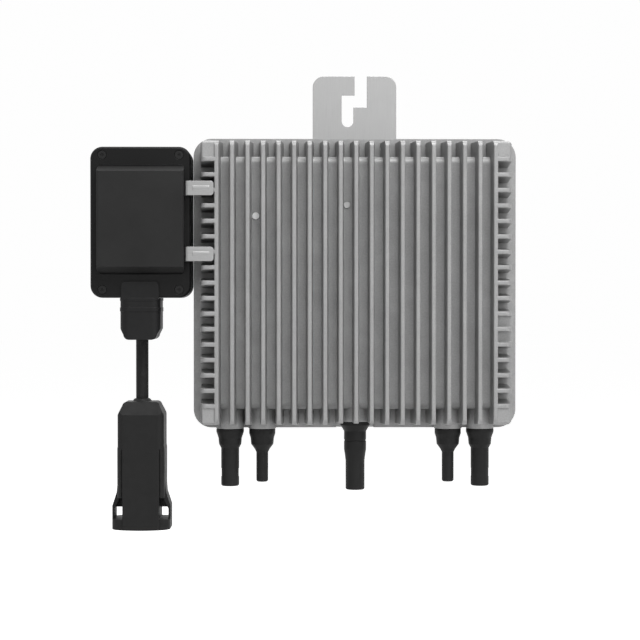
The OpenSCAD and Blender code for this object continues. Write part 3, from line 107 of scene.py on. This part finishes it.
class Graph:
    """A short way to write a material's nodes."""

    def __init__(self, name):
        self.material = bpy.data.materials.new(name)
        self.material.use_nodes = True
        self.tree = self.material.node_tree
        self.shader = self.tree.nodes["Principled BSDF"]
        self.place = self.add("ShaderNodeTexCoord").outputs["Object"]

    def add(self, kind, settings=None, **inputs):
        """Add a node; an input's name has _ in place of each space."""
        node = self.tree.nodes.new(kind)
        for key, value in (settings or {}).items():
            setattr(node, key, value)
        for key, value in inputs.items():
            self.put(node.inputs[key.replace("_", " ")], value)
        return node

    def put(self, socket, value):
        """Link a socket to another one, or give it a plain value."""
        if isinstance(value, bpy.types.NodeSocket):
            self.tree.links.new(value, socket)
        else:
            socket.default_value = value

    def set(self, **inputs):
        """Set inputs of the shader, named as in add."""
        for key, value in inputs.items():
            self.put(self.shader.inputs[key.replace("_", " ")], value)

    def math(self, operation, first, second):
        node = self.add("ShaderNodeMath", {"operation": operation})
        self.put(node.inputs[0], first)
        self.put(node.inputs[1], second)
        return node.outputs[0]

    def stretch(self, scale):
        node = self.add("ShaderNodeMapping", Vector=self.place, Scale=scale)
        return node.outputs["Vector"]

    def noise(self, scale, detail=3.0, rough=0.55, at=None):
        """Noise with scale features a metre, or a unit of the place given."""
        return self.add(
            "ShaderNodeTexNoise",
            Vector=at or self.place,
            Scale=scale,
            Detail=detail,
            Roughness=rough,
        ).outputs["Fac"]

    def ramp(self, value, low, high, start=0.0, end=1.0):
        """Map start to low and end to high, and hold both beyond."""
        return self.add(
            "ShaderNodeMapRange",
            {"clamp": True},
            Value=value,
            From_Min=start,
            From_Max=end,
            To_Min=low,
            To_Max=high,
        ).outputs["Result"]

    def spread(self, noise, low=0.0, high=1.0):
        """Map the usual range of a noise to low and high."""
        return self.ramp(noise, low, high, NOISE_LOW, NOISE_HIGH)

    def mix(self, factor, first, second, blend="MIX"):
        node = self.add("ShaderNodeMix", {"data_type": "RGBA", "blend_type": blend})
        self.put(node.inputs["Factor"], factor)
        self.put(node.inputs[6], first)
        self.put(node.inputs[7], second)
        return node.outputs[2]

    def shade(self, tone, factor):
        """Multiply a colour by a number."""
        tint = self.add("ShaderNodeCombineColor", Red=factor, Green=factor, Blue=factor)
        return self.mix(1.0, tone, tint.outputs[0], "MULTIPLY")

    def soft_edges(self, radius):
        bevel = self.add("ShaderNodeBevel", {"samples": EDGE_SAMPLES}, Radius=radius)
        return bevel.outputs["Normal"]

    def edge_mask(self, radius):
        """1 along sharp edges, 0 on flat faces."""
        dot = self.add("ShaderNodeVectorMath", {"operation": "DOT_PRODUCT"})
        self.put(dot.inputs[0], self.soft_edges(radius))
        self.put(dot.inputs[1], self.add("ShaderNodeNewGeometry").outputs["True Normal"])
        turned = self.math("SUBTRACT", 1.0, dot.outputs["Value"])
        return self.ramp(turned, 0.0, 1.0, WEAR_AND_HIGHLIGHT_STARTS, WEAR_AND_HIGHLIGHT_FULL)

    def wear_and_highlight(self, tone, worn_and_lit, amount, radius, patch_scale=210.0, least=0.2, full_at=0.65):
        """Mix the paler edge colour into the edges, partly as rubbing and partly as a painted
        highlight, more in some patches than in others.
        """
        # The paler edge colour is partly rubbing and partly a painted highlight
        patches = self.ramp(self.noise(patch_scale), least, 1.0, PATCH_STARTS, full_at)
        rubbed_and_lit = self.math("MULTIPLY", self.edge_mask(radius), patches)
        return self.mix(self.math("MULTIPLY", rubbed_and_lit, amount), tone, worn_and_lit)

    def bump(self, height, strength, distance, radius=None):
        """Texture on the surface, on edges rounded to the radius if one is given."""
        node = self.add("ShaderNodeBump", Height=height, Strength=strength, Distance=distance)
        if radius is not None:
            self.put(node.inputs["Normal"], self.soft_edges(radius))
        self.set(Normal=node.outputs["Normal"])


# Metals


def cast_metal(name, dark, light, metallic, rough):
    """Die-cast aluminium: fine skin, cloudy tone and slightly bright edges, partly from rubbing and
    partly a painted highlight.
    """
    graph = Graph(name)
    cloud = graph.noise(38.0, detail=4.0, rough=0.6)
    speck = graph.noise(900.0, detail=2.0)
    sheen = graph.noise(120.0)
    skin = graph.noise(420.0, detail=2.0)
    grain = graph.noise(1700.0, detail=2.0, rough=0.6)
    tone = graph.mix(graph.spread(cloud), dark, light)
    tone = graph.shade(tone, graph.spread(speck, low=0.92, high=1.06))
    # The edges are painted paler, partly as rubbing and partly as a painted highlight
    tone = graph.wear_and_highlight(
        tone,
        worn_and_lit=grey(0.8),
        amount=0.12,
        radius=CAST_EDGE,
        patch_scale=260.0,
        least=0.3,
        full_at=0.6,
    )
    graph.set(Base_Color=tone, Metallic=metallic)
    graph.set(Roughness=graph.spread(sheen, rough - 0.06, rough + 0.08))
    height = graph.math("ADD", grain, graph.math("MULTIPLY", skin, 0.8))
    graph.bump(height, strength=0.22, distance=CAST_HEIGHT, radius=BROAD_EDGE)
    return graph.material


def brushed_metal(name, colour, along, rough, metallic=1.0):
    """Sheet metal with fine rolling lines; along is the scale of each axis."""
    graph = Graph(name)
    lines = graph.noise(1.0, rough=0.65, at=graph.stretch(along))
    cloud = graph.noise(45.0)
    tone = graph.mix(graph.spread(lines), grey(0.88), grey(1.0))
    tone = graph.mix(1.0, tone, colour, "MULTIPLY")
    stain = graph.ramp(cloud, low=0.0, high=0.22, start=0.35, end=0.7)
    graph.set(Base_Color=graph.mix(stain, tone, grey(0.35)), Metallic=metallic)
    graph.set(Roughness=graph.spread(lines, rough - 0.05, rough + 0.1))
    graph.bump(lines, strength=0.12, distance=BRUSH_HEIGHT, radius=FINE_EDGE)
    return graph.material


# Plastics and rubber


def moulded(name, dark, light, rough, grain_scale, grain, edge, radius=BROAD_EDGE):
    """Moulded plastic with a fine eroded grain and slightly paler edges, partly from rubbing and
    partly a painted highlight.
    """
    graph = Graph(name)
    cloud = graph.noise(30.0)
    sheen = graph.noise(160.0)
    texture = graph.noise(grain_scale, detail=2.0, rough=0.6)
    tone = graph.mix(graph.spread(cloud), dark, light)
    # The edges are painted paler, partly as rubbing and partly as a painted highlight
    tone = graph.wear_and_highlight(tone, worn_and_lit=grey(0.12), amount=edge, radius=radius)
    graph.set(Base_Color=tone, Specular_IOR_Level=MOULDED_GLOSS)
    graph.set(Roughness=graph.spread(sheen, rough - 0.07, rough + 0.07))
    graph.bump(texture, strength=grain, distance=GRAIN_HEIGHT, radius=radius)
    return graph.material


def panelled(name, rim, panel, rim_y, panel_y):
    """The box cover: a smooth dark rim and a raised panel with a spark-eroded field."""
    graph = Graph(name)
    cloud = graph.noise(30.0)
    sheen = graph.spread(graph.noise(160.0), low=0.36, high=0.46)
    texture = graph.noise(1100.0, detail=2.0, rough=0.6)
    depth = graph.add("ShaderNodeSeparateXYZ", Vector=graph.place).outputs["Y"]
    field = graph.ramp(depth, 0.0, 1.0, rim_y, panel_y)
    tone = graph.mix(field, grey(rim), grey(panel))
    tone = graph.shade(tone, graph.spread(cloud, low=0.85, high=1.15))
    # The edges are painted paler, partly as rubbing and partly as a painted highlight
    tone = graph.wear_and_highlight(tone, worn_and_lit=grey(0.06), amount=0.2, radius=BROAD_EDGE)
    graph.set(Base_Color=tone, Specular_IOR_Level=DULL_GLOSS)
    graph.set(Roughness=graph.math("ADD", sheen, graph.math("MULTIPLY", field, 0.12)))
    coarse = graph.math("ADD", graph.math("MULTIPLY", field, 0.8), 0.2)
    height = graph.math("MULTIPLY", texture, coarse)
    graph.bump(height, strength=0.3, distance=GRAIN_HEIGHT, radius=BROAD_EDGE)
    return graph.material


def ribbed_rubber(name, colour, along, rough):
    """Extruded cable jacket: faint lines, dust and a dull sheen."""
    graph = Graph(name)
    lines = graph.noise(1.0, rough=0.6, at=graph.stretch(along))
    cloud = graph.noise(90.0, detail=4.0, rough=0.7)
    dust = graph.ramp(cloud, low=0.0, high=0.35, start=0.5, end=0.8)
    graph.set(Base_Color=graph.mix(dust, colour, grey(0.06)), Specular_IOR_Level=DULL_GLOSS)
    graph.set(Roughness=graph.spread(lines, rough - 0.08, rough + 0.1))
    graph.bump(lines, strength=0.25, distance=GRAIN_HEIGHT)
    return graph.material


def clear_plastic(name, dark, light):
    """Milky plastic that lets a little light in."""
    graph = Graph(name)
    cloud = graph.noise(300.0, detail=2.0)
    texture = graph.noise(900.0)
    graph.set(
        Base_Color=graph.mix(graph.ramp(cloud, low=0.0, high=1.0), dark, light),
        Roughness=graph.ramp(cloud, low=0.15, high=0.3),
        Subsurface_Weight=0.2,
        Subsurface_Scale=0.001,
        Subsurface_Radius=(1.0, 1.0, 1.0),
    )
    graph.bump(texture, strength=0.08, distance=GRAIN_HEIGHT, radius=FINE_EDGE)
    return graph.material


# Inner parts


def circuit_board(name, gap, line, mask):
    """Mask over copper lines that cross like a brick pattern: colours between, on and over them."""
    graph = Graph(name)
    cloud = graph.noise(70.0)
    sheen = graph.noise(200.0)
    cells = graph.add(
        "ShaderNodeTexBrick",
        {"offset": 0.5},
        Vector=graph.place,
        Scale=160.0,
        Mortar_Size=0.09,
        Color1=grey(0.0),
        Color2=grey(0.35),
        Mortar=grey(1.0),
    )
    tone = graph.mix(cells.outputs["Color"], gap, line)
    graph.set(Base_Color=graph.mix(graph.ramp(cloud, low=0.0, high=0.4), tone, mask))
    graph.set(Roughness=graph.ramp(sheen, low=0.25, high=0.4))
    graph.bump(cells.outputs["Fac"], strength=0.3, distance=BRUSH_HEIGHT)
    return graph.material


def wound_wire(name, colour, bands):
    """Copper wire turns, drawn as bands along each axis by the three scales, with painted shade
    between the turns.
    """
    graph = Graph(name)
    sheen = graph.noise(220.0)
    turns = graph.add(
        "ShaderNodeTexWave",
        {"wave_type": "BANDS", "bands_direction": "DIAGONAL"},
        Vector=graph.stretch(bands),
        Scale=1.0,
        Distortion=0.6,
    ).outputs["Fac"]
    # Darker copper between the turns is painted shade in the grooves
    between = tuple(part * 0.25 for part in colour[:3]) + (1.0,)
    graph.set(Base_Color=graph.mix(turns, between, colour), Metallic=0.85)
    graph.set(Roughness=graph.ramp(sheen, low=0.25, high=0.4))
    graph.bump(turns, strength=0.8, distance=WIRE_HEIGHT)
    return graph.material


def dipped(name, dark, light, rough=0.3, grain=0.12):
    """Lacquered, dipped or sleeved component bodies."""
    graph = Graph(name)
    cloud = graph.noise(80.0)
    sheen = graph.noise(150.0)
    texture = graph.noise(700.0)
    graph.set(Base_Color=graph.mix(graph.spread(cloud), dark, light))
    graph.set(Roughness=graph.ramp(sheen, rough - 0.06, rough + 0.08))
    graph.bump(texture, strength=grain, distance=GRAIN_HEIGHT, radius=FINE_EDGE)
    return graph.material


# Finishes

# Scale of a pattern along each axis; its lines run the way in which the scale is small
LINES_X = (45.0, 1500.0, 1500.0)
LINES_Z = (1500.0, 1500.0, 45.0)
PLATE_LINES = (60.0, 60.0, 900.0)
CABLE_LINES = (1400.0, 1400.0, 60.0)
CONTACT_LINES = (300.0, 300.0, 90.0)
EVEN_LINES = (500.0, 500.0, 500.0)
COIL_BANDS = (5.0, 5.0, 900.0)
WIRE_COLOUR = (0.62, 0.26, 0.1, 1.0)
# Places along Y where the cover's rim ends and its panel begins
COVER_RIM_Y = -0.0365
COVER_PANEL_Y = -0.0385

CAST = cast_metal("cast_aluminium", grey(0.26), grey(0.3), metallic=0.3, rough=0.5)
PLATE = brushed_metal(
    "plate_aluminium", (0.38, 0.383, 0.387, 1.0), PLATE_LINES, rough=0.42, metallic=0.9
)
BRACKET = brushed_metal("bracket_steel", grey(0.33), LINES_Z, rough=0.42, metallic=0.7)
STRAP = brushed_metal("strap_steel", grey(0.3), LINES_X, rough=0.33, metallic=0.9)
SCREW = brushed_metal("screw_steel", (0.6, 0.6, 0.61, 1.0), EVEN_LINES, rough=0.3)
CONTACT = brushed_metal("contact_metal", (0.78, 0.72, 0.56, 1.0), CONTACT_LINES, rough=0.25)
CONNECTOR = moulded(
    "connector_plastic", grey(0.006), grey(0.009),
    rough=0.55, grain_scale=1300.0, grain=0.3, edge=0.22,
)
BOX = moulded(
    "box_plastic", (0.004, 0.004, 0.0042, 1.0), (0.006, 0.006, 0.0063, 1.0),
    rough=0.55, grain_scale=1100.0, grain=0.3, edge=0.2,
)
COVER = panelled(
    "cover_plastic", rim=0.004, panel=0.016, rim_y=COVER_RIM_Y, panel_y=COVER_PANEL_Y
)
PLUG = moulded(
    "plug_plastic", grey(0.0065), grey(0.009),
    rough=0.55, grain_scale=1200.0, grain=0.3, edge=0.22,
)
BLACK_STEEL = moulded(
    "black_screw_steel", grey(0.006), grey(0.01),
    rough=0.42, grain_scale=1500.0, grain=0.1, edge=0.2, radius=SCREW_EDGE,
)
SEAL = moulded(
    "seal_rubber", grey(0.03), grey(0.045),
    rough=0.7, grain_scale=900.0, grain=0.35, edge=0.1,
)
CABLE = ribbed_rubber("cable_rubber", grey(0.012), CABLE_LINES, rough=0.62)
LENS = clear_plastic("lens_plastic", grey(0.82), grey(0.95))
VENT = clear_plastic("vent_plastic", grey(0.5), grey(0.62))
BOARD = circuit_board(
    "board", (0.01, 0.09, 0.035, 1.0), (0.03, 0.2, 0.07, 1.0), (0.015, 0.12, 0.05, 1.0)
)
COPPER = wound_wire("copper_wire", WIRE_COLOUR, COIL_BANDS)
CHOKE_WIRE = wound_wire("choke_wire", WIRE_COLOUR, EVEN_LINES)
SHEET = dipped("sheet_plastic", (0.62, 0.57, 0.4, 1.0), (0.72, 0.68, 0.52, 1.0), rough=0.5)
FERRITE = dipped("ferrite", grey(0.03), grey(0.05), rough=0.6, grain=0.3)
CAN = dipped("can_sleeve", (0.012, 0.015, 0.03, 1.0), (0.02, 0.025, 0.05, 1.0), rough=0.25)
FILM = dipped("film_case", (0.45, 0.32, 0.03, 1.0), (0.6, 0.45, 0.06, 1.0))
CHIP = dipped("chip_black", grey(0.012), grey(0.02), rough=0.5, grain=0.25)
PAD = dipped(
    "thermal_pad", (0.15, 0.25, 0.4, 1.0), (0.2, 0.32, 0.46, 1.0), rough=0.7, grain=0.2
)
TERMINAL = dipped(
    "terminal_plastic", (0.02, 0.12, 0.04, 1.0), (0.03, 0.17, 0.06, 1.0), rough=0.45
)
RELAY = dipped("relay_plastic", (0.015, 0.03, 0.1, 1.0), (0.02, 0.045, 0.14, 1.0))
VARISTOR = dipped("varistor_coat", (0.02, 0.07, 0.26, 1.0), (0.03, 0.1, 0.34, 1.0), rough=0.25)

FINISHES = {
    "mounting_bracket": BRACKET,
    "bracket_screws": SCREW,
    "back_plate": PLATE,
    "back_plate_screws": SCREW,
    "insulating_sheet": SHEET,
    "housing_gasket": SEAL,
    "front_housing": CAST,
    "status_lens": LENS,
    "vent_plug": VENT,
    "main_board": BOARD,
    "board_screws": SCREW,
    "transformer_cores": FERRITE,
    "transformer_windings": COPPER,
    "input_capacitors": CAN,
    "film_capacitors": FILM,
    "choke_core": FERRITE,
    "choke_winding": CHOKE_WIRE,
    "power_transistors": CHIP,
    "thermal_pads": PAD,
    "control_board": BOARD,
    "status_led": LENS,
    "input_terminals": TERMINAL,
    "output_terminals": TERMINAL,
    "dc_shroud_left": CONNECTOR,
    "dc_shroud_right": CONNECTOR,
    "dc_nose_left": CONNECTOR,
    "dc_nose_right": CONNECTOR,
    "dc_pin_contacts": CONTACT,
    "dc_sleeve_contacts": CONTACT,
    "dc_connector_nuts": CONNECTOR,
    "dc_connector_seals": SEAL,
    "ac_connector": CONNECTOR,
    "ac_contacts": CONTACT,
    "ac_connector_nut": CONNECTOR,
    "ac_connector_seal": SEAL,
    "relay_box_base": BOX,
    "relay_box_cover": COVER,
    "relay_box_gasket": SEAL,
    "relay_box_screws": BLACK_STEEL,
    "relay_board": BOARD,
    "relay_board_screws": SCREW,
    "grid_relays": RELAY,
    "relay_terminals": TERMINAL,
    "relay_varistor": VARISTOR,
    "relay_arm_upper": STRAP,
    "relay_arm_lower": STRAP,
    "relay_arm_screws": SCREW,
    "outlet_body": BOX,
    "outlet_nut": CONNECTOR,
    "outlet_seal": SEAL,
    "cable": CABLE,
    "plug_shell": PLUG,
    "plug_insert": CONNECTOR,
    "plug_contacts": CONTACT,
    "plug_face_seal": SEAL,
    "plug_cable_seal": SEAL,
}


def finish_nodes():
    for node, material in FINISHES.items():
        mesh = NODES[node].data
        mesh.materials.clear()
        mesh.materials.append(material)


finish_nodes()

# Cable

CABLE_X = -0.1458
CABLE_Y = -0.019
CABLE_TOP = -0.109
CABLE_END = -0.218
CABLE_DIAMETER = 0.0088
CABLE_POINTS = 17
CABLE_RESOLUTION = 8


def make_cable():
    """The short lead as one curve along the points that the model gives."""
    curve = bpy.data.curves.new("lead", "CURVE")
    curve.dimensions = "3D"
    curve.bevel_depth = CABLE_DIAMETER / 2
    curve.bevel_resolution = CABLE_RESOLUTION
    curve.use_fill_caps = True
    line = curve.splines.new("POLY")
    line.points.add(CABLE_POINTS - 1)
    for step, point in enumerate(line.points):
        z = CABLE_TOP + (CABLE_END - CABLE_TOP) * step / (CABLE_POINTS - 1)
        point.co = (CABLE_X, CABLE_Y, z, 1.0)
    curve.materials.append(CABLE)
    lead = add_object("lead", curve)
    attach(lead, "root")
    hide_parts("cable")


make_cable()

# Floor, world and lamps

FLOOR_Z = -0.48
FLOOR_REACH = 12.0
FLOOR_DARK = 0.86
FLOOR_LIGHT = 0.88
# Strength of the floor's glow near the object and far from it
GLOW_NEAR = 0.3
GLOW_FAR = 0.78
# Distances from the origin at which the near glow ends and the far glow begins
GLOW_NEAR_ENDS = 0.6
GLOW_FAR_BEGINS = 1.4
# Strength of the world as a light, and as the background that is seen
WORLD_LIGHT = 0.24
WORLD_SEEN = 0.99
# Name, place, size and watts of each lamp
LAMPS = (
    ("key", (0.25, -0.75, 1.1), (0.7, 0.7), 20.0),
    ("front", (0.35, -1.8, 0.3), (1.2, 1.0), 4.0),
    ("right", (1.2, -1.1, 0.4), (0.8, 0.8), 5.0),
    ("top", (-0.1, 0.8, 1.2), (1.2, 1.2), 16.0),
)
OBJECT_MIDDLE = (-0.02, -0.02, -0.14)


def background_rays(tree):
    """1 for the rays that show the background: camera, glossy and transmission rays."""
    path = tree.nodes.new("ShaderNodeLightPath")
    seen = path.outputs["Is Camera Ray"]
    for kind in ("Is Glossy Ray", "Is Transmission Ray"):
        either = tree.nodes.new("ShaderNodeMath")
        either.operation = "MAXIMUM"
        tree.links.new(seen, either.inputs[0])
        tree.links.new(path.outputs[kind], either.inputs[1])
        seen = either.outputs[0]
    return seen


def make_floor():
    """A plain pale floor whose glow meets the white of the world in the distance."""
    corners = [
        (x * FLOOR_REACH, y * FLOOR_REACH, FLOOR_Z)
        for x, y in ((-1, -1), (1, -1), (1, 1), (-1, 1))
    ]
    mesh = bpy.data.meshes.new("floor")
    mesh.from_pydata(corners, [], [(0, 1, 2, 3)])
    add_object("floor", mesh)
    graph = Graph("floor")
    cloud = graph.noise(2.0, detail=2.0)
    tone = graph.mix(cloud, grey(FLOOR_DARK), grey(FLOOR_LIGHT))
    graph.set(Base_Color=tone, Roughness=0.9, Specular_IOR_Level=0.0)
    away = graph.add("ShaderNodeVectorMath", {"operation": "LENGTH"}, Vector=graph.place)
    glow = graph.ramp(
        away.outputs["Value"], GLOW_NEAR, GLOW_FAR, start=GLOW_NEAR_ENDS, end=GLOW_FAR_BEGINS
    )
    strength = graph.math("MULTIPLY", background_rays(graph.tree), glow)
    graph.set(Emission_Color=grey(1.0), Emission_Strength=strength)
    mesh.materials.append(graph.material)


def make_world():
    world = bpy.data.worlds.new("studio")
    world.use_nodes = True
    bpy.context.scene.world = world
    tree = world.node_tree
    background = tree.nodes["Background"]
    background.inputs["Color"].default_value = grey(1.0)
    strength = tree.nodes.new("ShaderNodeMapRange")
    strength.inputs["To Min"].default_value = WORLD_LIGHT
    strength.inputs["To Max"].default_value = WORLD_SEEN
    tree.links.new(background_rays(tree), strength.inputs["Value"])
    tree.links.new(strength.outputs["Result"], background.inputs["Strength"])


def make_lamps():
    for name, place, size, watts in LAMPS:
        data = bpy.data.lights.new(name, "AREA")
        data.shape = "RECTANGLE"
        data.size, data.size_y = size
        data.energy = watts
        turn_to(add_object(name, data), place, OBJECT_MIDDLE)


make_floor()
make_world()
make_lamps()

bpy.context.scene.view_settings.view_transform = "Standard"
